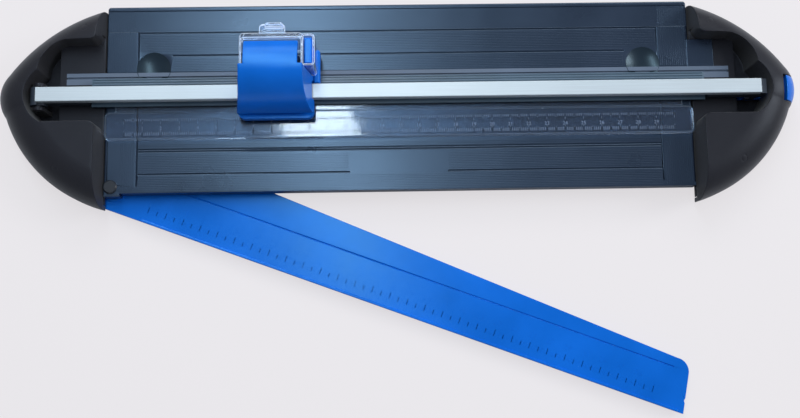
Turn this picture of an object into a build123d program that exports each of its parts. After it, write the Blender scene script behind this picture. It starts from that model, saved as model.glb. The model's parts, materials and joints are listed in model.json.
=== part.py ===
# Sliding paper trimmer: a grooved deck between two pointed end pods, a rail that hinges at
# the left pod and latches in the right one, a cutting head that slides along the rail, and
# a ruler arm that swings out from under the deck.
# Millimetres. +X runs along the rail to the latch, +Y to the back, +Z up. The origin is on
# the desk, under the middle of the rail. The arm is modelled swung out.
import os
from math import sqrt

from build123d import *

# ---- driving dimensions ----
deck_half = 161.0          # half the length of the deck between the pods
deck_front = -52.6
deck_rear = 52.3
deck_top = 14.0
deck_thick = 3.0
base_low = 1.5             # lower edge of the mouldings, above the feet
wall = 2.2                 # moulded wall thickness
slot_top = 6.9             # roof of the arm's slot, along the front
slot_rear = -16.4          # the slot's back, behind the closed arm

pod_inner = 161.5          # face of a pod towards the deck
pod_draft = 2.0            # how far that face leans out by the crest
pod_rear = 49.3
pod_front = -61.0
pod_wall_top = 13.0        # where the upright wall turns into the dome
pod_crest = 28.0
dome_run = 20.0            # plan width of the dome, from the wall to the crest

recess_rear = 30.2
recess_front = -15.2
recess_floor_x = 186.0     # the deck-level floor ends here
recess_floor_thick = 2.6
pocket_floor = 5.0         # floor of the deep pocket at the tip
recess_corner_r = 4.5      # rounded corner between the pod's inner face and the recess

rail_half = 167.5          # half the length of the carrier
rail_low = 15.5            # underside of the carrier, above the paper gap
carrier_top = 18.0
carrier_y = (-5.4, 10.4)
bar_top = 26.0
bar_half_width = 4.0
bar_neck_half = 2.4
bar_groove_top = 21.6      # underside of the bar's head
bar_left = -195.5
bar_right = 196.0
hinge_x, hinge_z = -195.8, 18.6
hinge_pin_r = 1.5
knuckle_r, knuckle_half = 4.4, 5.0
neck_end = 168.6           # the bar's neck ends here, and the blocks under its ends begin
block_half = 4.0           # half the width of these blocks

strip_half = 160.8         # clear ruler strip
strip_front, strip_rear = -24.0, -8.2
strip_low, strip_top = 15.4, 17.4

head_x = -67.0             # middle of the cutting head
skirt_front = -14.4
head_half_low = 20.5
head_half_top = 16.4
cap_half = 14.0            # the handle's rear part is narrower
skirt_low, skirt_top = 18.8, 23.4
bridge_top = 29.5
dome_front = -12.4
dome_y, dome_top = 8.0, 54.0   # where the head's dome peaks
rim_z = 26.8
press_travel = 3.0
front_y = 7.4              # rear face of the handle's front part

blade_y, blade_z, blade_r = 11.7, 30.5, 14.0
blade_thick = 0.6
axle_r = 2.0
mat_low = 12.5
mat_y = (8.0, 14.5)
mat_half = 182.5           # the mat runs on over the floors of both recesses

pivot_x, pivot_y = -157.5, -48.9
arm_low, arm_top, arm_lip = 2.6, 5.4, 6.3
arm_angle = -20.4          # how far the arm is swung out, from closed
arm_reach = 331.4
arm_front = -11.6          # ruler edge, from the pivot
arm_rear_near, arm_rear_far = 31.6, 16.0
arm_line = 10.7            # the fine groove behind the arm's scale
bush_r, bush_bore = 4.5, 2.6

button_x = 208.2           # where the latch button's window starts
button_y = (-8.0, 6.5)
play = 0.35                # gap round pieces that move
over = 60.0                # cuts run to here, past everything

os.makedirs("parts", exist_ok=True)


# ---- helpers ----
def block(x, y, z):
    """Box between the (low, high) pairs x, y and z."""
    size = (x[1] - x[0], y[1] - y[0], z[1] - z[0])
    return Pos(sum(x) / 2, sum(y) / 2, sum(z) / 2) * Box(*size)


def post(x, y, radius, low, high):
    """Upright cylinder."""
    return Pos(x, y, (low + high) / 2) * Cylinder(radius, high - low)


def cross_rod(x, z, radius, low, high):
    """Cylinder lying along Y."""
    return Pos(x, (low + high) / 2, z) * Rot(90, 0, 0) * Cylinder(radius, high - low)


def long_prism(face, x):
    """Extrude a face drawn in (Y, Z) from x[0] to x[1]."""
    return extrude(Plane.YZ.offset(x[0]) * face, x[1] - x[0])


def deep_prism(face, y):
    """Extrude a face drawn in (X, Z) from y[0] to y[1]."""
    return extrude(Plane.XZ.offset(-y[0]) * face, -(y[1] - y[0]))


def outline(*edges):
    """Face inside a closed run of edges."""
    return make_face(Curve() + list(edges))


def joined(pieces):
    """Fuse a list of solids into one."""
    whole = pieces[0]
    for piece in pieces[1:]:
        whole = whole + piece
    return whole


def save(name, shape):
    """Write one node, as a compound of its solids."""
    shape.label = name
    export_step(shape, f"parts/{name}.step")


# ---- end pods ----
def pod_plan(inset, inner_x):
    """Plan of the right pod, two long flanks meeting in a blunt tip, pulled in by inset."""
    rear = (inner_x, pod_rear - inset)
    rear_mid = (190.5 - 0.62 * inset, 35.6 - 0.78 * inset)
    tip_rear = (213.2 - 0.82 * inset, 13.2 - 0.57 * inset)
    tip = (218.0 - inset, 0.5)
    tip_front = (214.3 - 0.93 * inset, -11.0 + 0.37 * inset)
    front_mid = (195.6 - 0.68 * inset, -41.2 + 0.73 * inset)
    front = (inner_x, pod_front + inset)
    return outline(
        ThreePointArc(rear, rear_mid, tip_rear),
        ThreePointArc(tip_rear, tip, tip_front),
        ThreePointArc(tip_front, front_mid, front),
        Line(front, rear),
    )


def dome_height(inset):
    """Height of the pod's elliptical dome, inset from its wall."""
    rise = pod_crest - pod_wall_top
    return pod_wall_top + rise * sqrt(1 - (1 - inset / dome_run) ** 2)


def pod_form(skin, low=base_low):
    """Solid inside the right pod's surface, pulled in by skin."""
    upright = pod_plan(skin, pod_inner + skin)
    upright = extrude(Pos(0, 0, low) * upright, pod_wall_top - skin - low)
    sections = []
    for inset in (0.0, 1.6, 5.0, 11.0, dome_run):
        height = dome_height(inset)
        lean = pod_draft * (height - pod_wall_top) / (pod_crest - pod_wall_top)
        plan = pod_plan(inset + skin, pod_inner + skin + lean)
        sections.append(Pos(0, 0, height - skin) * plan)
    return upright + loft(sections)


def recess_plan(start):
    """Plan of the pocket that the rail's end lies in, from start out to the tip."""
    rear_corner = (194.5, 13.5)
    front_corner = (192.5, recess_front)
    return outline(
        Line((start, recess_front), (start, recess_rear)),
        Line((start, recess_rear), (181.0, recess_rear)),
        ThreePointArc((181.0, recess_rear), (190.9, 23.9), rear_corner),
        ThreePointArc(rear_corner, (201.3, -1.5), front_corner),
        Line(front_corner, (start, recess_front)),
    )


def pod_shell():
    """Hollow right pod with the rail's recess: what both end covers share."""
    outer = pod_form(0)
    shell = outer - pod_form(wall, low=0)
    throat_y = (pod_front + wall + 0.3, pod_rear - wall - 0.3)
    shell -= block((pod_inner - 1, pod_inner + 4), throat_y, (0, 11.5))
    tall = pod_crest + 2
    deep = block((recess_floor_x, 230), (-80, 80), (0, tall))
    grown = offset(recess_plan(pod_inner), wall)
    tub = extrude(Pos(0, 0, deck_top - recess_floor_thick) * grown, tall)
    well = extrude(Pos(0, 0, pocket_floor - 2) * grown, tall) & (
        block((recess_floor_x - wall, 230), (-80, 80), (0, tall))
    )
    posts = [post(x, y, 3.6, deck_top - deck_thick, tall) for x, y in cover_screw_places]
    for inner in [tub, well] + posts:
        shell += inner & outer
    hollow = recess_plan(pod_inner - 5)
    shell -= extrude(Pos(0, 0, deck_top) * hollow, tall)
    shell -= extrude(Pos(0, 0, pocket_floor) * hollow, tall) & deep
    shell -= block((pod_inner - 5, mat_half), mat_y, (mat_low, tall))
    corner_x = pod_inner + pod_draft / 2 + recess_corner_r
    for edge_y, inwards in ((recess_front, -1), (recess_rear, 1)):
        corner_y = edge_y + inwards * recess_corner_r
        spare = block((pod_inner - 1, corner_x), sorted((corner_y, edge_y)), (deck_top, tall))
        shell -= spare - post(corner_x, corner_y, recess_corner_r, 0, tall + 1)
    for x, y in cover_screw_places:
        shell -= post(x, y, 1.55, deck_top - deck_thick - 1, over)
    return shell


cover_screw_places = [(170.5, 37.0), (184.0, -40.0)]
slot_notch_end = 178.5     # the arm's slot runs this far under each pod

bare_pod = pod_shell()
bare_pod -= block((155, slot_notch_end), (-70, recess_front - wall - 0.1), (0, slot_top))

# the left cover carries two ears for the rail's hinge pin
ears = []
ear_r = 3.2
ear_thick = 2.2
ear_near = knuckle_half + 0.4
for ear_side in ((-ear_near - ear_thick, -ear_near), (ear_near, ear_near + ear_thick)):
    ear = block((hinge_x - ear_r, hinge_x + ear_r), ear_side, (pocket_floor - 1, hinge_z))
    ear += cross_rod(hinge_x, hinge_z, ear_r, *ear_side)
    ears.append(ear)
left_end_cover = joined([mirror(bare_pod, Plane.YZ)] + ears)
pin_half = ear_near + ear_thick
left_end_cover -= cross_rod(hinge_x, hinge_z, hinge_pin_r, -pin_half - 1, pin_half + 1)
save("left_end_cover", left_end_cover)

# the right cover's tip is cut away for the latch button, with a way in for its tongue
tip_window = block((button_x, 225), button_y, (base_low + 2.2, over))
tongue_way = block((199, 208), (-4.0, 4.0), (pocket_floor, 8.4))
# the deck's right end reaches over this recess's floor as a thin ledge
ledge_end, ledge_low = 174.6, 13.0
ledge_y = (mat_y[1], recess_rear - 0.3)
ledge_bed = block((pod_inner - 5, ledge_end + 0.1), ledge_y, (ledge_low, deck_top + 1))
save("right_end_cover", bare_pod - tip_window - tongue_way - ledge_bed)


# ---- deck ----
front_groove_y = -42.5
groove_half_length = 143.0
short_groove_half = 125.0  # the groove between the dimples is shorter
full_grooves = [
    (37.0, groove_half_length),
    (23.9, short_groove_half),
    (-28.8, groove_half_length),
    (-30.0, groove_half_length),
]
groove_gap = (-27.8, 25.5)         # the front groove is left out between these
groove_half, groove_deep = 0.35, 0.5
ledge_front = 37.7                 # the deck steps down behind this line
dimple_x, dimple_y, dimple_r, dimple_deep = 135.0, 16.6, 9.3, 2.0
tongue_x = (-deck_half, -152.5)    # the deck reaches further round the arm's pivot
tongue_front, tongue_wall = -54.2, 1.0

deck_low = deck_top - deck_thick
deck = block((-deck_half, deck_half), (deck_front, deck_rear), (deck_low, deck_top))
deck += block((-deck_half, deck_half), (deck_rear - wall, deck_rear), (base_low, deck_top))
deck = fillet(deck.edges().filter_by(Axis.Z).group_by(Axis.Y)[-1], 1.6)
deck = fillet(deck.edges().filter_by(Axis.X).group_by(Axis.Y)[-1].sort_by(Axis.Z)[-1], 1.2)
deck += block(tongue_x, (tongue_front, -50), (deck_low, deck_top))
deck += block(tongue_x, (tongue_front, tongue_front + tongue_wall), (slot_top, deck_top))
deck += block((tongue_x[1], deck_half), (deck_front, deck_front + wall), (slot_top, deck_top))
deck -= block((-200, 200), (ledge_front, deck_rear - 2.5), (deck_top - 0.4, over))
groove_z = (deck_top - groove_deep, over)
for y, half in full_grooves:
    deck -= block((-half, half), (y - groove_half, y + groove_half), groove_z)
front_groove = (front_groove_y - groove_half, front_groove_y + groove_half)
for side, gap_end in zip((-1, 1), groove_gap):
    deck -= block(sorted((gap_end, side * groove_half_length)), front_groove, groove_z)
    line = side * (groove_half_length + 0.6)
    deck -= block((line - 0.3, line + 0.3), (-49, 46), (deck_top - 0.3, over))
    ball_r = (dimple_r**2 + dimple_deep**2) / (2 * dimple_deep)
    deck -= Pos(side * dimple_x, dimple_y, deck_top - dimple_deep + ball_r) * Sphere(ball_r)
deck += block((deck_half - 1, ledge_end), ledge_y, (ledge_low, deck_top))
deck -= block((-mat_half, mat_half), mat_y, (mat_low, over))
deck -= post(pivot_x, pivot_y, bush_bore, 0, over)
deck_screw_places = [(-75, 30.0), (75, 30.0), (-125, -8.0), (125, -8.0)]
for x, y in deck_screw_places:
    deck -= post(x, y, 1.55, deck_low - 1, deck_low + 1.6)
save("deck_panel", deck)

blade_groove = (blade_y - 0.6, blade_y + 0.6)
mat = block((-mat_half, mat_half), mat_y, (mat_low, deck_top))
mat -= block((-mat_half - 1, mat_half + 1), blade_groove, (deck_top - 1, over))
save("cutting_mat", mat)


# ---- base frame, under the deck and inside the pods ----
plate_low = deck_low - 2.5
frame_end = 183.0
pod_gap = wall + 0.5
foot_places = [(-158, 38), (158, 38), (-193, -25), (193, -25), (0, 0)]

inner_plan = pod_plan(pod_gap, deck_half + 0.3)
plan_front = deck_front + wall + 0.2
plan_rear = deck_rear - wall - 0.4
plan = Rectangle(2 * deck_half + 1, plan_rear - plan_front, align=(Align.CENTER, Align.MIN))
plan = Pos(0, plan_front) * plan
plan = plan + inner_plan + mirror(inner_plan, Plane.YZ)
frame = extrude(Pos(0, 0, plate_low) * plan, deck_low - plate_low)
pivot_lobe = (tongue_front + tongue_wall + 0.3, pivot_y)
frame += block((tongue_x[0] + 0.4, tongue_x[1] - 0.4), pivot_lobe, (plate_low, deck_low))
skirt = plan - offset(plan, -2.0)
frame += extrude(Pos(0, 0, base_low) * skirt, plate_low - base_low)
for y in (-15.5, 4.0, 22.0):
    frame += block((-frame_end + 6, frame_end - 6), (y, y + 1.8), (base_low, plate_low))
for x in (-150, -100, -50, 50, 100, 150):
    frame += block((x - 0.9, x + 0.9), (-15.5, 47.5), (base_low, plate_low))
for x, y in foot_places:
    frame += post(x, y, 7.5, 2.5, plate_low)
    frame -= post(x, y, 6.3, 0, 2.5)
# the arm sweeps through the front of the frame, and the rail's ends hang in deep pockets
frame -= block((-175, slot_notch_end + 1), (-70, slot_rear), (0, plate_low))
for side in (-1, 1):
    pocket = sorted((side * (recess_floor_x - wall - 0.6), side * 230))
    frame -= block(pocket, (recess_front - wall - 0.6, 40), (0, over))
for x, y in cover_screw_places:
    for side in (-1, 1):
        frame -= post(side * x, y, 1.7, 0, over)
for x, y in deck_screw_places:
    frame -= post(x, y, 1.7, 0, over)
frame -= post(pivot_x, pivot_y, bush_bore, 0, over)
save("base_frame", frame)

save("rubber_feet", Compound([post(x, y, 6.0, 0, 2.5) for x, y in foot_places]))


# ---- fasteners of the base ----
def tapping_screw(x, y, head_top, length):
    """Slotted screw driven upwards: head below head_top, shank above it."""
    slot = block((x - 2, x + 2), (y - 0.4, y + 0.4), (head_top - 3, head_top - 1.2))
    head = post(x, y, 2.9, head_top - 2.0, head_top) - slot
    return head + post(x, y, 1.5, head_top - 0.2, head_top + length)


cover_places = [(side * x, y) for x, y in cover_screw_places for side in (-1, 1)]
save("cover_screws", Compound([tapping_screw(x, y, plate_low, 9.0) for x, y in cover_places]))
save("deck_screws", Compound([tapping_screw(x, y, plate_low, 4.0) for x, y in deck_screw_places]))


# ---- swing arm ----
def on_arm(shape):
    """Carry a shape drawn with the arm closed and its pivot at zero to its place."""
    return Pos(pivot_x, pivot_y, 0) * Rot(0, 0, arm_angle) * shape


def arm_plan(margin):
    """Plan of the arm, closed, with its pivot at zero, pulled in by margin."""
    heel_x = -9.5 + margin
    front = arm_front + margin
    near = (heel_x + 7, arm_rear_near - margin)
    far = (arm_reach - 11.5, arm_rear_far - margin)
    end_rear = (arm_reach - 3.4 - margin, 9.9)
    end_front = (arm_reach - margin, front)
    heel_front = (heel_x + 7, front)
    return outline(
        Line(heel_front, end_front),
        Line(end_front, end_rear),
        TangentArc(end_rear, far, tangent=(-0.165, 1.0)),
        Line(far, near),
        ThreePointArc(near, (heel_x + 1.2, 25.0), (heel_x, 18.0)),
        Line((heel_x, 18.0), (heel_x, 0)),
        ThreePointArc((heel_x, 0), (heel_x + 2.0, front + 2.2), heel_front),
    )


arm = extrude(Pos(0, 0, arm_low) * arm_plan(0), arm_top - arm_low)
arm -= extrude(Pos(0, 0, arm_low - 1) * arm_plan(1.8), 1 + 1.2)
arm += block((20, arm_reach - 3), (arm_front, arm_front + 1.2), (arm_top, arm_lip))
arm -= block((16, arm_reach - 12), (arm_line - 0.3, arm_line + 0.3), (arm_top - 0.4, over))
arm -= post(arm_reach - 0.2, -4.4, 1.4, 0, over)
for rib_x in range(45, 325, 45):
    arm += block((rib_x, rib_x + 1.4), (arm_front + 1, arm_rear_far - 1), (arm_low, arm_top - 1))
arm += post(0, 0, bush_r + 2.2, arm_low, arm_lip)
arm -= post(0, 0, bush_r, 0, over)
save("swing_arm", on_arm(arm))
save("arm_bush", on_arm(post(0, 0, bush_r, arm_low, arm_lip) - post(0, 0, bush_bore, 0, over)))

pin_r = bush_bore - 0.05
screw_head = post(pivot_x, pivot_y, 3.8, deck_top, deck_top + 1.2)
screw_head = chamfer(screw_head.edges().group_by(Axis.Z)[-1], 0.7)
save("arm_pivot_screw", screw_head + post(pivot_x, pivot_y, pin_r, 0.8, deck_top + 0.2))
washer = post(pivot_x, pivot_y, 3.9, arm_lip + 0.35, plate_low)
save("arm_pivot_washer", washer - post(pivot_x, pivot_y, bush_bore, 0, over))
nut = extrude(Pos(pivot_x, pivot_y, 0.8) * RegularPolygon(4.4, 6), 1.4)
save("arm_pivot_nut", nut - post(pivot_x, pivot_y, bush_bore, 0, over))


# ---- rail: carrier, guide bar, clear ruler strip and end blocks ----
tongue_rear, tongue_thick = -4.0, 1.2      # the clear strip's tongue, let into the carrier
carrier = block((-rail_half, rail_half), carrier_y, (rail_low, carrier_top))
carrier = fillet(carrier.edges().filter_by(Axis.X).group_by(Axis.Z)[-1], 0.6)
rebate = (carrier_y[0] - 1, tongue_rear + 0.1)
carrier -= block((-200, 200), rebate, (rail_low - 1, strip_low + tongue_thick + 0.1))
for y in (5.4, 6.85, 8.3, 9.75):
    ridge_y = (y - 0.35, y + 0.35)
    carrier += block((-rail_half + 1, rail_half - 1), ridge_y, (carrier_top - 0.5, carrier_top + 0.4))
rail_screw_xs = [-140, 0, 140]
for x in rail_screw_xs:
    carrier -= post(x, 0, 2.4, rail_low - 1, rail_low + 1.0)
    carrier -= post(x, 0, 1.3, 0, over)

bar_shape = Pos(0, (bar_groove_top + bar_top) / 2) * Rectangle(
    2 * bar_half_width, bar_top - bar_groove_top
)
bar = long_prism(bar_shape, (bar_left, bar_right))
bar = fillet(bar.edges().filter_by(Axis.X).group_by(Axis.Z)[-1], 0.5)
neck_face = Pos(0, (carrier_top + bar_groove_top) / 2) * Rectangle(
    2 * bar_neck_half, bar_groove_top - carrier_top
)
bar += long_prism(neck_face, (-neck_end, neck_end))
facet = Polygon((bar_right - 8, bar_top), (bar_right, bar_top), (bar_right, 24.6), align=None)
bar -= deep_prism(facet, (-6, 6))
for x in rail_screw_xs:
    bar -= post(x, 0, 1.25, carrier_top - 1, 23.0)
save("guide_bar", bar)

rail_screws = []
for x in rail_screw_xs:
    screw = post(x, 0, 2.3, rail_low + 0.05, rail_low + 1.0) + post(x, 0, 1.2, rail_low + 0.5, 22.5)
    rail_screws.append(screw - block((x - 1.5, x + 1.5), (-0.35, 0.35), (0, rail_low + 0.6)))
save("rail_screws", Compound(rail_screws))

clear_ruler = block((-strip_half, strip_half), (strip_front, strip_rear), (strip_low, strip_top))
clear_ruler = fillet(clear_ruler.edges().filter_by(Axis.Z), 3.0)
front_edge = clear_ruler.edges().filter_by(Axis.X).group_by(Axis.Z)[-1].sort_by(Axis.Y)[0]
clear_ruler = chamfer(front_edge, 0.8)
tongue_y = (strip_rear - 1, tongue_rear)
clear_ruler += block((-155, 155), tongue_y, (strip_low, strip_low + tongue_thick))
save("clear_ruler", clear_ruler)

pad = block((-155, 155), (-3.6, -0.8), (14.8, rail_low))
save("clamp_pad", joined([pad]))
save("rail_carrier", carrier)

block_top = bar_groove_top
block_y = (-block_half, block_half)
hinge_block = block((hinge_x, -neck_end - 0.05), block_y, (rail_low + 0.1, block_top))
hinge_block += cross_rod(hinge_x, hinge_z, knuckle_r, -knuckle_half, knuckle_half)
hinge_block -= block((bar_left - 0.05, 0), (-10, 10), (block_top, over))
hinge_block -= cross_rod(hinge_x, hinge_z, hinge_pin_r + 0.05, -8, 8)
save("rail_hinge_block", hinge_block)
save("rail_hinge_pin", cross_rod(hinge_x, hinge_z, hinge_pin_r, -pin_half, pin_half))

catch_x = 191.8            # where the catch's foot starts
latch_side = Polygon(
    (neck_end + 0.05, 15.6), (194.5, 15.6), (194.5, 10.2), (catch_x, 10.2), (catch_x, 8.2),
    (197.5, 8.2), (197.5, 15.6), (199.3, 15.6), (199.3, 24.2), (196.05, 24.2),
    (196.05, block_top), (neck_end + 0.05, block_top), align=None,
)
latch_block = deep_prism(latch_side, block_y)
catch_half = 3.6
latch_block -= block((190, 198), (-6, -catch_half), (0, 15.6))
latch_block -= block((190, 198), (catch_half, 6), (0, 15.6))
save("rail_latch_block", latch_block)


# ---- latch button at the right tip ----
button_window = (button_y[0] + play, button_y[1] - play)
nose = pod_form(0) & block((button_x + 2.1, 230), button_window, (base_low + 2.6, over))
body_x = (208.4, button_x + 2.3)
body = pod_form(wall + 0.6) & block(body_x, button_window, (base_low + 2.6, over))
tongue_side = Polygon(
    (188.2, 5.6), (210.0, 5.6), (210.0, 7.6), (190.0, 7.6), (190.0, 10.6), (191.5, 10.6),
    (191.5, 11.4), (190.6, 12.2), (188.2, 12.2), align=None,
)
tongue = deep_prism(tongue_side, (-3.2, 3.2))
save("latch_button", nose + body + tongue)


def coil(radius, wire, pitch, height):
    """Helical spring standing on the origin along +Z."""
    path = Helix(pitch=pitch, height=height, radius=radius)
    section = Plane(origin=path @ 0, z_dir=path % 0) * RegularPolygon(wire, 4)
    return sweep(section, path=path)


save("latch_spring", Pos(204.2, -0.75, 13.5) * Rot(0, 90, 0) * coil(2.0, 0.35, 1.4, 3.7))


# ---- carriage on the rail ----
def across(half, y, z):
    """Box centred on the head, half wide each way along X."""
    return block((head_x - half, head_x + half), y, z)


bridge_half = 15.8
post_r, post_dx, post_high = 2.0, 10.5, 43.0
lug_x, lug_top = (head_x + 17.0, head_x + 24.0), 26.0
column_x, column_y, column_top = (head_x + 17.0, head_x + 21.0), (9.1, 23.0), 46.5
skirt_rear = 7.2
skirt = across(head_half_low, (skirt_front, skirt_rear), (skirt_low, skirt_top))
front_corners = skirt.edges().filter_by(Axis.Z).group_by(Axis.Y)[0]
skirt = fillet(front_corners, 4.0)
carriage = skirt + across(bridge_half, (-9.6, skirt_rear), (skirt_top - 1, bridge_top))
left_cheek = (head_x - head_half_low, head_x - head_half_low + 3.0)
carriage += block(left_cheek, (3.6, 14.0), (skirt_low, skirt_top))
# the lug on the right, with a column that the guard's ear slides up and down
lug = block(lug_x, (3.6, column_y[1]), (skirt_low, lug_top))
lug = fillet(lug.edges().filter_by(Axis.Z).group_by(Axis.X)[-1], 1.6)
lug = chamfer(lug.edges().group_by(Axis.Z)[-1].sort_by(Axis.X)[-1], 1.0)
carriage += lug - across(head_half_low + play, (0, front_y + play), (skirt_top, over))
column = block(column_x, column_y, (lug_top - 1, column_top))
column = chamfer(column.edges().group_by(Axis.Z)[-1], 0.6)
carriage += column
for side in (-1, 1):
    carriage += post(head_x + side * post_dx, 0, post_r, bridge_top - 1, post_high)
channel_top = bar_top + 1.4
channel_half = bar_half_width + 0.4
carriage -= across(30, (-channel_half, channel_half), (0, channel_top))
keeper_z = (skirt_low + 0.2, bar_groove_top - 0.4)
keeper_half = 18.0
keeper_inner = channel_half + 0.1
keeper_edges = [(-9.0, -keeper_inner), (keeper_inner, 7.2)]
for low_y, high_y in keeper_edges:
    carriage -= across(keeper_half + 0.2, (low_y - 0.2, high_y + 0.2), (0, keeper_z[1] + 0.05))
keeper_screw_places = [(head_x + dx, y) for dx in (-13, 13) for y in (-7.4, 6.0)]
for x, y in keeper_screw_places:
    carriage -= post(x, y, 0.75, 0, 27.0)
save("carriage_body", carriage)

# each keeper reaches under the bar's head, beside its neck
hook = bar_neck_half + 0.4
keepers = [
    across(keeper_half, (keeper_edges[0][0], -hook), keeper_z),
    across(keeper_half, (hook, keeper_edges[1][1]), keeper_z),
]
keeper_screws = []
for x, y in keeper_screw_places:
    keepers = [keeper - post(x, y, 0.8, 0, over) for keeper in keepers]
    keeper_screws.append(post(x, y, 0.75, keeper_z[0], 26.5))
save("carriage_keepers", Compound(keepers))
save("keeper_screws", Compound(keeper_screws))

pads = []
pad_half = channel_half - 0.6
for dx in (-12.0, 12.0):
    pad_x = (head_x + dx - 5, head_x + dx + 5)
    pads.append(block(pad_x, (-pad_half, pad_half), (bar_top + 0.3, channel_top)))
save("glide_pads", Compound(pads))


# ---- pressing head: domed handle, blade cartridge, axle, springs ----
cap_y, cap_rear_z, cap_low = 20.3, 50.0, 46.8


def dome_side(skin, low):
    """Side view of the handle: a quarter ellipse up from the front, then a gentle fall."""
    run = dome_y - dome_front - skin
    rise = dome_top - rim_z - skin
    spring_z = rim_z
    nose_y = dome_y - run
    crest = EllipticalCenterArc((dome_y, spring_z), run, rise, start_angle=90, arc_size=90)
    crown = ThreePointArc(
        (dome_y, dome_top - skin), (14.4, 52.9 - skin), (cap_y - skin, cap_rear_z - skin)
    )
    edges = [crest, crown]
    if low < spring_z:
        edges.append(Line((nose_y, spring_z), (nose_y, low)))
    edges.append(Line((nose_y, low), (cap_y - skin, low)))
    edges.append(Line((cap_y - skin, low), (cap_y - skin, cap_rear_z - skin)))
    return outline(*edges)


def flared_front(skin, low):
    """Front view of the handle: sides that sweep outwards on their way down."""
    top = head_half_top - skin
    foot = head_half_low - skin
    arcs = []
    for side in (-1, 1):
        shoulder = (head_x + side * top, dome_top)
        waist = (head_x + side * (top + 1.6), 41.0)
        arcs.append(ThreePointArc(shoulder, waist, (head_x + side * foot, low)))
    return outline(
        arcs[0],
        arcs[1],
        Line((head_x - top, dome_top), (head_x + top, dome_top)),
        Line((head_x - foot, low), (head_x + foot, low)),
    )


width = (head_x - 25, head_x + 25)
handle_wall = 1.8
depth = (-20, over)
handle = long_prism(dome_side(0, rim_z), width) & deep_prism(flared_front(0, rim_z), depth)
cavity = long_prism(dome_side(handle_wall, rim_z - 1), width)
cavity &= deep_prism(flared_front(handle_wall, rim_z - 1), depth)
rear_wall_low = bridge_top + press_travel + 0.5
cavity -= block(width, (front_y - handle_wall, front_y), (rear_wall_low, over))
handle -= cavity
handle -= block(width, (-bar_half_width - 0.9, bar_half_width + 0.9), (0, bar_top + press_travel + 0.8))
handle -= block(width, (front_y, over), (0, cap_low))
handle -= block((width[0], head_x - cap_half), (front_y, over), (0, over))
handle -= block((head_x + cap_half, width[1]), (front_y, over), (0, over))
roof = long_prism(dome_side(0.9, rim_z), width)
for side in (-1, 1):
    sleeve = post(head_x + side * post_dx, 0, 4.2, 38.0, over) & roof
    handle += sleeve - post(head_x + side * post_dx, 0, post_r + 0.35, 30, post_high + 3.4)
cartridge_top = 46.4
handle += across(8.0, (9.0, 14.5), (cartridge_top, over)) & roof
save("press_handle", handle)

cart_half = 14.0
cart_y = (8.0, 15.4)
cart_face = Pos(head_x, blade_z) * Circle(cartridge_top - blade_z) & (
    Pos(head_x, 34.2) * Rectangle(2 * cart_half, 24.4)
)
cartridge = deep_prism(cart_face, cart_y)
slot_y = (blade_y - 1.1, blade_y + 1.6)
cartridge -= across(30, slot_y, (0, 36))
cartridge -= cross_rod(head_x, blade_z, blade_r + 0.4, *slot_y)
cartridge -= across(5.5, (slot_y[1], over), (0, 25.5))
cartridge -= cross_rod(head_x, blade_z, axle_r, 0, over)
save("blade_cartridge", cartridge)

axle = cross_rod(head_x, blade_z, axle_r, cart_y[0], cart_y[1] + 0.5)
knob = cross_rod(head_x, blade_z, 4.2, cart_y[1], cart_y[1] + 1.4)
knob = chamfer(knob.edges().group_by(Axis.Y)[-1], 0.5)
save("blade_axle", axle + knob)

springs = []
for side in (-1, 1):
    place = Pos(head_x + side * post_dx, 0, bridge_top + 0.5)
    springs.append(place * coil(2.95, 0.45, 2.8, 7.2))
save("return_springs", Compound(springs))


# ---- blade and hub, turning on the axle ----
hub_r = 5.0
blade = cross_rod(head_x, blade_z, blade_r, blade_y - blade_thick / 2, blade_y + blade_thick / 2)
blade = chamfer(blade.edges().filter_by(GeomType.CIRCLE), 0.24, 1.5)
blade -= cross_rod(head_x, blade_z, hub_r, 0, over)
save("rotary_blade", blade)
hub = cross_rod(head_x, blade_z, hub_r, blade_y - 0.8, blade_y + 1.2)
save("blade_hub", hub - cross_rod(head_x, blade_z, axle_r + 0.05, 0, over))


# ---- clear guard round the blade, lifted out by its tab ----
guard_inner, guard_outer = 15.4, 16.6
guard_front, guard_rear = 7.8, 25.3
guard_top = 48.0
guard_wall = 1.2
rim_thick, rim_deep = 2.7, 3.0     # the rear wall is thicker along its top
guard = across(guard_outer, (guard_front, guard_rear), (skirt_low + 0.2, guard_top))
guard = fillet(guard.edges().filter_by(Axis.Z).group_by(Axis.Y)[-1], 2.5)
cores = [(guard_rear - rim_thick, over), (guard_rear - guard_wall, guard_top - rim_deep)]
for core_rear, core_top in cores:
    core = across(guard_inner, (guard_front - 1, core_rear), (0, core_top))
    guard -= fillet(core.edges().filter_by(Axis.Z).group_by(Axis.Y)[-1], 1.3)

# the ear is a sleeve, open above and below, round the carriage's column
ear_low = lug_top + 1.2
ear_x = (head_x + guard_outer - 0.6, column_x[1] + 0.4 + guard_wall)
ear_y = (column_y[0] - 0.4 - 1.0, column_y[1] + 0.4 + guard_wall)
ear_outer = block(ear_x, ear_y, (ear_low, guard_top))
ear_outer = fillet(ear_outer.edges().filter_by(Axis.Z).group_by(Axis.X)[-1], 2.0)
ear_inner_x = (head_x + guard_outer, ear_x[1] - guard_wall)
ear_inner = block(ear_inner_x, (column_y[0] - 0.4, column_y[1] + 0.4), (0, over))
ear_inner = fillet(ear_inner.edges().filter_by(Axis.Z).group_by(Axis.X)[-1], 0.8)
guard += ear_outer - ear_inner

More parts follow.
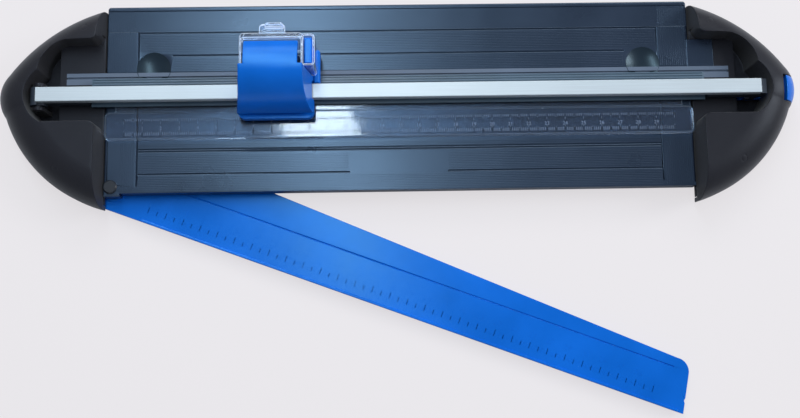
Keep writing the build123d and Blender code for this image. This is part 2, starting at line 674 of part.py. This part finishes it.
tab_x = (head_x - 6.2, head_x + 7.3)
tab_rear, tab_thick, grip_top = 30.0, 1.4, 50.4
tab = block(tab_x, (guard_rear - 1, tab_rear), (guard_top - tab_thick, guard_top))
tab = fillet(tab.edges().filter_by(Axis.Z).group_by(Axis.Y)[-1], 2.0)
grip_x = (head_x - 3.0, head_x + 6.4)
grip = block(grip_x, (tab_rear - 2.4, tab_rear), (guard_top - tab_thick, grip_top))
grip = fillet(grip.edges().filter_by(Axis.Z).group_by(Axis.Y)[-1], 1.6)
save("clear_guard", guard + tab + grip)
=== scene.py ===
# Sliding paper trimmer: finishes, softened edges, springs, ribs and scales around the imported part.
import json
import math

import bpy
from mathutils import Matrix, Vector
from mathutils.bvhtree import BVHTree

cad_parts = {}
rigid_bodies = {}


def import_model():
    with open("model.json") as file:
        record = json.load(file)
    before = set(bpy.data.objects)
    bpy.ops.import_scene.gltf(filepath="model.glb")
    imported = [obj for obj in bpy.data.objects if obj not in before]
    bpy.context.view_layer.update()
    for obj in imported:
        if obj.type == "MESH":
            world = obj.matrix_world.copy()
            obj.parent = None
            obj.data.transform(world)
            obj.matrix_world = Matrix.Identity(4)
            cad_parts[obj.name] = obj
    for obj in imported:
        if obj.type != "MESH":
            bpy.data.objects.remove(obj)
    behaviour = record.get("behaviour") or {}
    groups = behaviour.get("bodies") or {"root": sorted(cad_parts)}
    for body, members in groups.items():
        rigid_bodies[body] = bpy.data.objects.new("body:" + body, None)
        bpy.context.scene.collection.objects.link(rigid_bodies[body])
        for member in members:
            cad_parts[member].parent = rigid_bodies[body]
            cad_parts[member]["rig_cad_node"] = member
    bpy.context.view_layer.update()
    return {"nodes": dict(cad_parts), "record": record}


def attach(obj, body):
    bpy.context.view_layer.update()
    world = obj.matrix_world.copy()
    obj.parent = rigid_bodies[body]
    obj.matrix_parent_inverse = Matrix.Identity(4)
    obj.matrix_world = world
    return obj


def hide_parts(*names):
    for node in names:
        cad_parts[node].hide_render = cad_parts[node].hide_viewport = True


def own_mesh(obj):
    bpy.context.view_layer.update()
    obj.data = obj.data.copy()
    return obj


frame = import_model()
mm = 0.001
behaviour = frame["record"]["behaviour"]
bodyOf = {node: body for body, nodes in behaviour["bodies"].items() for node in nodes}
slotOf = {part["node"]: part["material_slot"] for part in frame["record"]["subparts"]}
jointOf = {joint["name"]: joint for joint in behaviour["joints"]}


# the camera, high above the front of the deck
view = {
    "place": (-10.5, -141.8, 550.0),   # millimetres, above the front of the deck
    "tilt": 8.4,                       # degrees off straight down
    "turn": 6.9,                       # which way it leans, from +Y towards +X
    "roll": -0.99,
    "focal": 1001.6,                   # in pixels of a picture 800 wide
    "width": 800,
    "sensor": 36.0,
    "nearest": 10.0,                   # what is closer than this isn't drawn
}


def placeCamera():
    tilt, turn, roll = (math.radians(view[name]) for name in ("tilt", "turn", "roll"))
    lean = math.sin(tilt)
    ahead = Vector((lean * math.sin(turn), lean * math.cos(turn), -math.cos(tilt)))
    right = ahead.cross(Vector((0, 1, 0))).normalized()
    up = right.cross(ahead)
    right, up = (
        math.cos(roll) * right + math.sin(roll) * up,
        math.cos(roll) * up - math.sin(roll) * right,
    )
    data = bpy.data.cameras.new("camera")
    data.sensor_width = view["sensor"]
    data.lens = view["focal"] * view["sensor"] / view["width"]
    data.clip_start = view["nearest"] * mm
    camera = bpy.data.objects.new("camera", data)
    bpy.context.scene.collection.objects.link(camera)
    axes = Matrix((right, up, -ahead)).transposed()
    camera.matrix_world = Matrix.Translation(Vector(view["place"]) * mm) @ axes.to_4x4()
    bpy.context.scene.camera = camera


placeCamera()
print("camera placed")


# shader sockets that add and multiply, and the nodes of one material
class Value:                           # a socket that adds, multiplies and so on
    def __init__(self, graph, socket):
        self.graph = graph
        self.socket = socket

    def do(self, operation, other):
        return self.graph.calc(operation, self, other)

    def __add__(self, other):
        return self.do("ADD", other)

    def __sub__(self, other):
        return self.do("SUBTRACT", other)

    def __mul__(self, other):
        return self.do("MULTIPLY", other)

    def clip(self, low, high):         # 0 below low, 1 above high
        return self.graph.out(
            "ShaderNodeMapRange", {"clamp": True},
            {"Value": self, "From Min": low, "From Max": high, "To Min": 0.0, "To Max": 1.0},
        )


class Graph:                           # one material's nodes
    def __init__(self, name):
        self.material = bpy.data.materials.new(name)
        self.material.use_nodes = True
        self.tree = self.material.node_tree
        self.tree.nodes.clear()
        self.output = self.tree.nodes.new("ShaderNodeOutputMaterial")
        place = self.tree.nodes.new("ShaderNodeTexCoord")
        self.place = Value(self, place.outputs["Object"])

    def add(self, kind, settings=None, sockets=None):
        node = self.tree.nodes.new(kind)
        for name, value in (settings or {}).items():
            setattr(node, name, value)
        for name, value in (sockets or {}).items():
            socket = node.inputs[name]
            if isinstance(value, Value):
                self.tree.links.new(value.socket, socket)
            else:
                socket.default_value = value
        return node

    def out(self, kind, settings=None, sockets=None, name=0):
        return Value(self, self.add(kind, settings, sockets).outputs[name])

    def calc(self, operation, *values):
        return self.out("ShaderNodeMath", {"operation": operation}, dict(enumerate(values)))

    def calcVector(self, operation, *values, name=0):
        sockets = dict(enumerate(values))
        return self.out("ShaderNodeVectorMath", {"operation": operation}, sockets, name)

    def mix(self, share, first, second):
        sockets = {0: share, 6: first, 7: second}              # the colour mixer's own sockets
        return self.out("ShaderNodeMix", {"data_type": "RGBA"}, sockets, 2)

    def stretched(self, stretch):      # object coordinates, scaled along each axis
        sockets = {"Vector": self.place, "Scale": stretch}
        return self.out("ShaderNodeMapping", {}, sockets)

    def noise(self, scale, detail=2.0, rough=0.5, vector=None):
        place = vector or self.place
        sockets = {"Vector": place, "Scale": scale, "Detail": detail, "Roughness": rough}
        return self.out("ShaderNodeTexNoise", {}, sockets)

    def bump(self, height, distance):
        sockets = {"Height": height, "Distance": distance, "Strength": 1.0}
        return self.out("ShaderNodeBump", {}, sockets)

    def show(self, shader):
        self.tree.links.new(shader.outputs[0], self.output.inputs["Surface"])

    def surface(self, **sockets):
        named = {name.replace("_", " "): value for name, value in sockets.items()}
        shader = self.add("ShaderNodeBsdfPrincipled", {}, named)
        self.show(shader)
        return shader

    def blend(self, share, first, second):                     # shows two shaders mixed
        mixer = self.add("ShaderNodeMixShader", {}, {0: share})
        self.tree.links.new(first.outputs[0], mixer.inputs[1])
        self.tree.links.new(second.outputs[0], mixer.inputs[2])
        self.show(mixer)


def tone(red, green, blue):            # a colour from 0 to 255, as the shader's linear one
    linear = []
    for channel in (red, green, blue):
        c = channel / 255
        linear.append(c / 12.92 if c <= 0.04045 else ((c + 0.055) / 1.055) ** 2.4)
    return (*linear, 1.0)


def shaded(colour, share, lift=0.0):   # darker or paler than the colour, and lifted by an even amount
    return tuple(min(1.0, share * c + lift) for c in colour[:3]) + (1.0,)


# a material for each slot of the record, and a few for edges, bowls and print
white = (1.0, 1.0, 1.0, 1.0)
moulding = {                           # what all moulded plastic shares; scales are waves per metre
    "patches": 28.0,                   # broad unevenness
    "patchRange": (0.3, 0.7),          # where in its noise a mark starts and where it is full
    "pits": 2600.0,                    # spark-eroded grain, 0.4 mm apart
    "pitDepth": 0.00005,
    "dust": 420.0,
    "dustRange": (0.60, 0.78),
    "rubs": (90.0, 900.0, 900.0),      # long marks where sheets and hands slide along X
    "rubRange": (0.62, 0.80),
    "dark": 0.88,
    "pale": 1.1,
    "rubbed": 1.3,
}


def mouldedPlastic(
    name, colour, rough=0.42, grain=0.5, level=0.5, scuff=0.35, shine=white, bloom=0.0
):
    g = Graph(name)
    patches = g.noise(moulding["patches"], 3.0)
    pits = g.noise(moulding["pits"], 2.0, 0.6)
    dust = g.noise(moulding["dust"], 4.0, 0.7).clip(*moulding["dustRange"])
    rubs = g.noise(1.0, 5.0, 0.75, g.stretched(moulding["rubs"])).clip(*moulding["rubRange"])
    worn = (dust * 0.5 + rubs * 0.8) * scuff
    dark = shaded(colour, moulding["dark"])
    pale = shaded(colour, moulding["pale"], 0.002)
    rubbed = shaded(colour, moulding["rubbed"], 0.035)
    base = g.mix(patches.clip(*moulding["patchRange"]), dark, pale)
    g.surface(
        Base_Color=g.mix(worn * 0.5, base, rubbed),
        Roughness=(patches - 0.5) * 0.12 + worn * 0.18 + rough,
        Normal=g.bump(pits, moulding["pitDepth"] * grain),
        Specular_IOR_Level=level,
        Specular_Tint=shine,
        Sheen_Weight=bloom,                                    # dusty look at a slant
    )
    return g.material


drawing = {"spots": 60.0, "lineRange": (0.35, 0.7), "dim": 0.86}       # of drawn metal


def drawnMetal(name, colour, rough, stretch, depth, metallic=1.0):
    g = Graph(name)
    lines = g.noise(1.0, 4.0, 0.7, g.stretched(stretch))       # die lines along the metal
    spots = g.noise(drawing["spots"], 3.0)                     # where hands have dulled it
    g.surface(
        Base_Color=g.mix(lines.clip(*drawing["lineRange"]), shaded(colour, drawing["dim"]), colour),
        Metallic=metallic,
        Roughness=(lines - 0.5) * 0.25 + (spots - 0.5) * 0.1 + rough,
        Normal=g.bump(lines, depth),
    )
    return g.material


turning = {"rings": 6000.0, "depth": 0.00002, "dim": 0.8}      # of ground wheels


def turnedMetal(name, colour, rough, centre):                  # rings of a wheel ground on its axle
    g = Graph(name)
    centred = g.calcVector("ADD", g.place, tuple(-c for c in centre))
    flat = g.calcVector("MULTIPLY", centred, (1.0, 0.0, 1.0))  # the axle runs along Y
    away = g.calcVector("LENGTH", flat, name=1)
    rings = g.out(
        "ShaderNodeTexNoise", {"noise_dimensions": "1D"},
        {"W": away * turning["rings"], "Scale": 1.0, "Detail": 3.0},
    )
    g.surface(
        Base_Color=g.mix(rings, shaded(colour, turning["dim"]), colour),
        Metallic=1.0,
        Roughness=(rings - 0.5) * 0.2 + rough,
        Normal=g.bump(rings, turning["depth"]),
    )
    return g.material


clearing = {                           # what all clear plastic shares
    "smears": 55.0,
    "smearDepth": 0.00003,
    "hairs": (60.0, 1400.0, 900.0),    # hair scratches along X
    "hairRange": (0.6, 0.85),
    "passes": (0.93, 0.95, 0.97, 1.0),  # what a lamp's light keeps on its way through
}


def clearPlastic(name, tint, rough, haze, bend=1.49):          # lets lamps light what lies under it
    g = Graph(name)
    smears = g.noise(clearing["smears"], 4.0, 0.6)
    hairs = g.noise(1.0, 4.0, 0.7, g.stretched(clearing["hairs"])).clip(*clearing["hairRange"])
    shader = g.surface(
        Base_Color=tint,
        Roughness=smears * 0.05 + hairs * 0.12 + rough,
        Transmission_Weight=haze,
        IOR=bend,
        Normal=g.bump(smears, clearing["smearDepth"]),
    )
    bare = g.add("ShaderNodeBsdfTransparent", {}, {"Color": clearing["passes"]})
    path = g.add("ShaderNodeLightPath")
    g.blend(Value(g, path.outputs["Is Shadow Ray"]), shader, bare)
    return g.material


finishes = {
    "deck_plastic": mouldedPlastic(
        "deckPlastic", tone(31, 39, 56), rough=0.29, grain=0.3, level=1.0, scuff=0.4,
        shine=(0.46, 0.7, 1.0, 1.0),
    ),
    "pod_plastic": mouldedPlastic(
        "podPlastic", tone(29, 29, 36), rough=0.42, grain=0.8, level=0.27,
        shine=(0.8, 0.88, 1.0, 1.0), bloom=0.12,
    ),
    "frame_plastic": mouldedPlastic("framePlastic", tone(36, 36, 39), rough=0.5, grain=0.8),
    "carrier_plastic": mouldedPlastic("carrierPlastic", tone(80, 102, 120), rough=0.34, grain=0.4),
    "inner_plastic": mouldedPlastic("innerPlastic", tone(60, 68, 80), rough=0.4),
    "mat_plastic": mouldedPlastic("matPlastic", tone(92, 108, 130), rough=0.5, grain=0.9, scuff=1.0),
    "rubber": mouldedPlastic("footRubber", tone(30, 30, 32), rough=0.8, grain=1.6, level=0.3),
    "blue_plastic": mouldedPlastic(
        "bluePlastic", tone(10, 108, 220), rough=0.24, grain=0.25, level=0.4, scuff=0.12,
        shine=(0.3, 0.75, 1.0, 1.0),
    ),
    "bar_aluminium": drawnMetal(
        "barAluminium", tone(212, 224, 232), 0.46, (25.0, 5200.0, 5200.0), 0.00002, metallic=0.35
    ),
    "screw_steel": drawnMetal(
        "screwSteel", tone(176, 178, 182), 0.32, (900.0, 900.0, 300.0), 0.00001
    ),
    "black_steel": mouldedPlastic("blackSteel", tone(30, 36, 46), rough=0.34, grain=0.2),
    "spring_steel": drawnMetal(
        "springSteel", tone(160, 164, 172), 0.3, (800.0, 800.0, 800.0), 0.00001
    ),
    "blade_steel": turnedMetal(
        "bladeSteel", tone(190, 194, 200), 0.22, jointOf["blade_spin"]["pos_m"]
    ),
    "clear_plastic": clearPlastic("clearPlastic", tone(212, 222, 233), 0.03, 1.0),
}
# rounded edges of the guard, whitish and mostly opaque: painted highlight along its edges
guardEdgeHighlightPaint = clearPlastic("guardEdgeHighlightPaint", tone(232, 241, 255), 0.25, 0.15, bend=1.3)
# rounded edges of the strip, clear but partly opaque and pale: a faint painted highlight along its
# edges
stripEdgeHighlightPaint = clearPlastic("stripEdgeHighlightPaint", tone(190, 208, 228), 0.2, 0.82, bend=1.2)
guardWall = clearPlastic("guardWall", tone(206, 226, 252), 0.04, 0.93, bend=1.22)
# darker than the deck: painted shade in the dimples' hollows, on a glossy finish
bowlShadePaint = mouldedPlastic(
    "bowlShadePaint", tone(26, 38, 50), rough=0.3, grain=0.05, scuff=0.2, shine=(0.6, 0.85, 1.0, 1.0)
)
scalePrint = mouldedPlastic("scalePrint", tone(112, 130, 156), rough=0.5, grain=0.0, scuff=0.8)
print("finishes made")

for node, thing in frame["nodes"].items():
    slotName = slotOf[node]
    thing.data.materials.clear()
    thing.data.materials.append(finishes[slotName])
    thing["finish"] = slotName


# helpers for modelling
def pick(*things):                     # select only these
    bpy.ops.object.select_all(action="DESELECT")
    for thing in things:
        thing.select_set(True)
    bpy.context.view_layer.objects.active = things[0]


def added(operator, **settings):       # the object that an operator adds, the only one selected
    bpy.ops.object.select_all(action="DESELECT")
    operator(**settings)
    return bpy.context.object


def editMesh(thing, *steps):           # run each operator on the whole mesh
    pick(thing)
    bpy.ops.object.mode_set(mode="EDIT")
    for operator, settings in steps:
        bpy.ops.mesh.select_all(action="SELECT")
        operator(**settings)
    bpy.ops.object.mode_set(mode="OBJECT")


def apply(thing, kind, **settings):    # add a modifier and apply it
    pick(thing)
    modifier = thing.modifiers.new(kind.lower(), kind)
    for name, value in settings.items():
        setattr(modifier, name, value)
    bpy.ops.object.modifier_apply(modifier=modifier.name)


def repeat(thing, count, step):        # a row of copies, each a step in millimetres from the last
    apply(
        thing, "ARRAY", count=count, use_relative_offset=False, use_constant_offset=True,
        constant_offset_displace=tuple(s * mm for s in step),
    )


def smooth(angle):                     # shade the selected object smooth below this many degrees
    bpy.ops.object.shade_smooth_by_angle(angle=math.radians(angle))


def dress(thing, name, body, slotName):
    thing.name = name
    thing.data.name = name
    if not thing.data.materials:
        thing.data.materials.append(finishes[slotName])
    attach(thing, body)
    return thing


def brick(low, high):                  # box between two corners, in millimetres
    thing = added(bpy.ops.mesh.primitive_cube_add, size=1.0)
    middle = [(a + b) / 2 * mm for a, b in zip(low, high)]
    size = [(b - a) * mm for a, b in zip(low, high)]
    thing.data.transform(Matrix.Translation(middle) @ Matrix.Diagonal((*size, 1.0)))
    return thing


def joinAll(things):
    pick(*things)
    bpy.ops.object.join()
    return bpy.context.object


# pieces with softened edges, which stand for the plain solids
softening = {
    "angle": 35.0,                     # degrees; a sharper edge than this is rounded
    "steps": 2,
    "smooth": 28.0,
    "reach": 0.45,                     # how far the rounding may leave the solid, in edge widths
    "weld": 0.002,                     # millimetres; corners closer than this are one
    "sliver": 0.001,
}
softPieces = {                         # node: (piece, width of its rounded edges, their material)
    "deck_panel": ("deckShell", 0.3, None),
    "left_end_cover": ("leftPod", 0.35, None),
    "right_end_cover": ("rightPod", 0.35, None),
    "guide_bar": ("guideRail", 0.25, None),
    "rail_carrier": ("railCarrier", 0.15, None),
    "swing_arm": ("rulerArm", 0.3, None),
    "press_handle": ("headDome", 0.4, None),
    "carriage_body": ("headSkirt", 0.3, None),
    "latch_button": ("latchTip", 0.3, None),
    "clear_guard": ("bladeGuard", 0.28, guardEdgeHighlightPaint),
    "clear_ruler": ("clearStrip", 0.28, stripEdgeHighlightPaint),
    "rail_hinge_block": ("hingeEnd", 0.2, None),
    "rail_latch_block": ("latchEnd", 0.1, None),
}


def skinOf(thing):
    mesh = thing.data
    return BVHTree.FromPolygons([v.co for v in mesh.vertices], [f.vertices for f in mesh.polygons])


def tuckIn(thing, skin, reach):        # a short edge's bevel can shoot out: its points go back
    for vertex in thing.data.vertices:
        place, _, _, away = skin.find_nearest(vertex.co)
        if away > reach:
            vertex.co = place
    editMesh(thing, (bpy.ops.mesh.dissolve_degenerate, {"threshold": softening["sliver"] * mm}))


def roundEdges(thing, width, edge):
    skin = skinOf(thing)
    apply(
        thing, "BEVEL", width=width * mm, segments=softening["steps"], limit_method="ANGLE",
        angle_limit=math.radians(softening["angle"]), use_clamp_overlap=False,
        material=1 if edge else -1, miter_outer="MITER_ARC",
    )
    tuckIn(thing, skin, softening["reach"] * width * mm)


def soften(node, name, width, edge=None):                      # width 0 leaves the edges sharp
    source = frame["nodes"][node]
    pick(source)
    bpy.ops.object.duplicate()
    thing = bpy.context.object
    del thing["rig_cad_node"]
    thing.parent = None
    bpy.ops.mesh.customdata_custom_splitnormals_clear()
    editMesh(thing, (bpy.ops.mesh.remove_doubles, {"threshold": softening["weld"] * mm}))
    if edge:
        thing.data.materials.append(edge)
    if width:
        roundEdges(thing, width, edge)
    smooth(softening["smooth"])
    apply(thing, "WEIGHTED_NORMAL", keep_sharp=True)
    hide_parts(node)
    return dress(thing, name, bodyOf[node], source["finish"])


pieces = {
    name: soften(node, name, width, edge) for node, (name, width, edge) in softPieces.items()
}
pieces["bladeGuard"].data.materials[0] = guardWall
print("edges softened")


# springs, copied from their parts with the edges left sharp
springs = {
    "return_springs": {
        "piece": "returnSprings", "joint": "head_press", "axis": (0, 0, 1), "stroke": 3.0,
    },
    "latch_spring": {
        "piece": "latchSpring", "joint": "latch_press", "axis": (1, 0, 0), "stroke": 1.8,
    },
}

for springNode, spring in springs.items():
    wire = soften(springNode, spring["piece"], 0)
    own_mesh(wire)
print("springs set")


# caps over the pods' screw holes
caps = {
    "places": ((170.5, 37.0), (184.0, -40.0)),  # on the right pod; the left one mirrors them
    "radius": 2.0,
    "thick": 1.6,
    "proud": 0.04,
    "edge": 0.12,
    "sides": 40,
    "feel": 2.7,                       # how far out the pod's surface is felt for
    "feelers": 8,
    "above": 100.0,                    # where they start down from
}


def makeCap(pod, x, y):
    up = Vector((0, 0, 0))
    middle = Vector((0, 0, 0))
    for feeler in range(caps["feelers"]):
        angle = 2 * math.pi * feeler / caps["feelers"]
        out = Vector((math.cos(angle), math.sin(angle), 0)) * caps["feel"]
        start = (Vector((x, y, caps["above"])) + out) * mm
        _, place, normal, _ = pod.ray_cast(start, (0, 0, -1))
        up += normal
        middle += place / caps["feelers"]
    up.normalize()
    thing = added(
        bpy.ops.mesh.primitive_cylinder_add, vertices=caps["sides"], radius=caps["radius"] * mm,
        depth=caps["thick"] * mm, location=(0, 0, (caps["proud"] - caps["thick"] / 2) * mm),
    )
    bpy.ops.object.transform_apply(location=True)
    apply(thing, "BEVEL", width=caps["edge"] * mm, segments=2, limit_method="ANGLE")
    smooth(softening["smooth"])
    turned = up.to_track_quat("Z", "Y").to_matrix().to_4x4()
    thing.data.transform(Matrix.Translation(middle) @ turned)
    return thing


bpy.context.view_layer.update()
podCaps = [
    makeCap(pieces[pod], side * x, y)
    for pod, side in (("leftPod", -1), ("rightPod", 1))
    for x, y in caps["places"]
]
dress(joinAll(podCaps), "podCaps", "base", "pod_plastic")
print("pod screws capped")


# fine ribs moulded on the deck
deckRibs = {
    "top": 14.0,                       # the deck's face, in millimetres
    "height": 0.08,
    "sunk": 0.05,
    "width": 0.5,
    "edge": 0.11,
    "pitch": 0.95,
    "fields": [                        # (left, right, front, rear) of the ribs along the deck
        (-142.6, 142.6, 26.5, 36.2),
        (-124.0, 124.0, 24.6, 26.3),
        (-124.0, 124.0, 15.0, 23.2),
        (-142.6, 142.6, -28.0, -24.8),
        (-142.6, -28.5, -41.9, -30.8),
        (26.2, 142.6, -41.9, -30.8),
        (-142.6, 142.6, -51.8, -43.1),
    ],
    "endPitch": 1.1,
    "endFields": [                     # and of ribs across it, beside the pods
        (-160.4, -144.6, 15.2, 37.4),
        (144.6, 160.4, 15.2, 37.4),
        (-152.4, -144.6, -51.4, -25.0),
        (144.6, 160.4, -51.4, -25.0),
    ],
    "ledgeFields": [(-160.4, -144.6, 38.0, 50.2), (144.6, 160.4, 38.0, 50.2)],
    "ledgeStep": 0.4,                  # the rear ledge lies this much lower
}


def rib(left, right, front, rear):     # one rib with rounded long edges
    low = deckRibs["top"] - deckRibs["sunk"]
    thing = brick((left, front, low), (right, rear, deckRibs["top"] + deckRibs["height"]))
    apply(thing, "BEVEL", width=deckRibs["edge"] * mm, segments=2, limit_method="ANGLE")
    return thing


def ribsAlong(left, right, front, rear):
    pitch = deckRibs["pitch"]
    first = rib(left, right, front, front + deckRibs["width"])
    repeat(first, int((rear - front) / pitch), (0.0, pitch, 0.0))
    return first


def ribsAcross(left, right, front, rear):
    pitch = deckRibs["endPitch"]
    first = rib(left, left + deckRibs["width"], front, rear)
    repeat(first, int((right - left) / pitch), (pitch, 0.0, 0.0))
    return first


def makeDeckRibs():
    fields = [ribsAlong(*field) for field in deckRibs["fields"]]
    fields += [ribsAcross(*field) for field in deckRibs["endFields"]]
    lower = Matrix.Translation((0, 0, -deckRibs["ledgeStep"] * mm))
    for field in deckRibs["ledgeFields"]:
        fields.append(ribsAcross(*field))
        fields[-1].data.transform(lower)
    dress(joinAll(fields), "deckRibs", "base", "deck_plastic")


makeDeckRibs()
print("deck ribbed")


# dark glossy linings of the two finger dimples; their darker colour is painted shade in the hollows
bowls = {
    "centres": ((-135.0, 16.6), (135.0, 16.6)),
    "radius": 9.3,
    "deep": 2.0,
    "wall": 0.08,
    "rim": 0.03,                       # how far the bowl stands above the deck's face
    "clear": 0.12,                     # between the bowl and the deck's own hollow
    "sides": 64,
    "rings": 96,
    "smooth": 30.0,
}


def makeBowl(x, y):
    deep = bowls["deep"]
    ball = (bowls["radius"] ** 2 + deep ** 2) / (2 * deep)     # the ball that the bowl is cut from
    centre = deckRibs["top"] - deep + ball
    cut = (deckRibs["top"] + bowls["rim"] - centre) * mm
    thing = added(
        bpy.ops.mesh.primitive_uv_sphere_add, segments=bowls["sides"], ring_count=bowls["rings"],
        radius=(ball - bowls["clear"]) * mm,
    )
    editMesh(
        thing,
        (bpy.ops.mesh.bisect, {"plane_co": (0, 0, cut), "plane_no": (0, 0, 1), "clear_outer": True}),
        (bpy.ops.mesh.flip_normals, {}),                       # the hollow side is the one to see
    )
    apply(thing, "SOLIDIFY", thickness=bowls["wall"] * mm, offset=-1.0)
    smooth(bowls["smooth"])
    thing.data.transform(Matrix.Translation((x * mm, y * mm, centre * mm)))
    thing.data.materials.append(bowlShadePaint)
    return thing


shadedDimpleLinings = [makeBowl(*centre) for centre in bowls["centres"]]
dress(joinAll(shadedDimpleLinings), "shadedDimpleLinings", "base", "deck_plastic")
print("dimples lined")


# scales of the clear strip and the ruler arm
tickPitches = (1, 5, 10)               # of short, middle and long ticks, in millimetres
figureScale = 1.4                      # the font's size over its figures' height
stripMarks = {
    "top": 17.4,                       # the strip's upper face
    "height": 0.04,
    "sunk": 0.02,
    "span": (-150, 150),
    "rows": [                          # (edge that the ticks stand on, short, middle, long)
        (-12.2, -1.4, -2.0, -3.0),
        (-21.6, 1.8, 2.3, 2.8),
    ],
    "tickWidth": 0.28,
    "figures": (-18.5, 2.0),           # where their feet stand, and their height
}
armMarks = {                           # along the arm as it lies closed, from its pivot
    "top": 5.4,
    "height": 0.04,
    "sunk": 0.02,
    "span": (22, 312),
    "rows": [(-6.0, 2.4, 3.4, 4.6)],
    "tickWidth": 0.3,
    "figures": (0.0, 3.2),
}


def ticks(marks, pitch, edge, length):
    start, end = marks["span"]
    low, high = sorted((edge, edge + length))
    half = marks["tickWidth"] / 2
    foot = (start - half, low, marks["top"] - marks["sunk"])
    first = brick(foot, (start + half, high, marks["top"] + marks["height"]))
    repeat(first, (end - start) // pitch + 1, (pitch, 0.0, 0.0))
    return first


def figure(marks, number, x):
    foot, height = marks["figures"]
    thing = added(bpy.ops.object.text_add)
    thing.data.body = str(number)
    thing.data.align_x = "CENTER"
    thing.data.size = figureScale * height * mm
    thing.data.extrude = marks["height"] * mm / 2
    thing.data.resolution_u = 2
    pick(thing)
    bpy.ops.object.convert(target="MESH")
    place = (x * mm, foot * mm, (marks["top"] + marks["height"] / 2) * mm)
    thing.data.transform(Matrix.Translation(place))
    return thing


def scale(marks):
    start, end = marks["span"]
    centimetre = tickPitches[-1]
    things = []
    for edge, *lengths in marks["rows"]:
        things += [ticks(marks, pitch, edge, long) for pitch, long in zip(tickPitches, lengths)]
    for number in range(1, (end - start) // centimetre):
        things.append(figure(marks, number, start + centimetre * number))
    return joinAll(things)


stripScale = scale(stripMarks)
stripScale.data.materials.append(scalePrint)
dress(stripScale, "stripScale", "rail", "clear_plastic")
armScale = scale(armMarks)
swing = jointOf["arm_swing"]
pivot = Matrix.Translation(swing["pos_m"][:2] + [0.0])
turn = Matrix.Rotation(-math.radians(swing["range_deg"][1]), 4, "Z")
armScale.data.transform(pivot @ turn)
dress(armScale, "armScale", "arm", "blue_plastic")
print("scales marked")


# floor and light
lamps = {
    "strip": {                         # long and narrow: glare on the clear strip, sheen on the deck
        "place": (-0.13, 0.30, 0.85), "aim": (-0.05, 0.0, 0.0), "size": (0.105, 0.8),
        "power": 3.6, "colour": (0.8, 0.92, 1.0),
    },
    "back": {                          # from behind, so the bar shades the flange before it
        "place": (0.15, 1.25, 0.95), "aim": (0.0, 0.0, 0.0), "size": (1.6, 0.5),
        "power": 9.0, "colour": (1.0, 0.985, 0.96),
    },
    "left": {
        "place": (-1.35, 0.25, 0.85), "aim": (0.0, 0.0, 0.0), "size": (0.6, 0.6),
        "power": 0.3, "colour": (0.92, 0.96, 1.0),
    },
    "right": {
        "place": (1.35, 0.25, 0.85), "aim": (0.0, 0.0, 0.0), "size": (0.6, 0.6),
        "power": 10.0, "colour": (0.95, 0.97, 1.0),
    },
}
air = {"power": 0.28, "colour": tone(236, 240, 248)}
paper = {
    "size": 12.0,
    "below": 0.00005,                  # metres under the feet
    "colour": tone(238, 235, 238),
    "glow": 0.8,                       # how much of it is even, where the camera sees it
}


def addLamp(name, lamp):
    data = bpy.data.lights.new(name, "AREA")
    data.shape = "RECTANGLE"
    data.size, data.size_y = lamp["size"]
    data.energy = lamp["power"]
    data.color = lamp["colour"]
    thing = bpy.data.objects.new(name, data)
    bpy.context.scene.collection.objects.link(thing)
    thing.location = lamp["place"]
    aim = Vector(lamp["aim"]) - Vector(lamp["place"])
    thing.rotation_euler = aim.to_track_quat("-Z", "Y").to_euler()


def addFloor():
    floor = added(
        bpy.ops.mesh.primitive_plane_add, size=paper["size"], location=(0, 0, -paper["below"])
    )
    floor.name = "floor"
    g = Graph("floorPaper")
    plain = g.add("ShaderNodeBsdfDiffuse", {}, {"Color": paper["colour"]})
    glow = g.add("ShaderNodeEmission", {}, {"Color": paper["colour"], "Strength": 1.0})
    path = g.add("ShaderNodeLightPath")
    seen = Value(g, path.outputs["Is Camera Ray"])
    seen = seen.do("MAXIMUM", Value(g, path.outputs["Is Transmission Ray"]))
    g.blend(seen * paper["glow"], plain, glow)
    floor.data.materials.append(g.material)


def lightWorld():
    world = bpy.data.worlds.new("studioAir")
    bpy.context.scene.world = world
    world.use_nodes = True
    background = world.node_tree.nodes["Background"]
    background.inputs["Color"].default_value = air["colour"]
    background.inputs["Strength"].default_value = air["power"]


for lampName, lamp in lamps.items():
    addLamp(lampName, lamp)
addFloor()
lightWorld()
bpy.context.scene.view_settings.view_transform = "Standard"
print("studio lit")
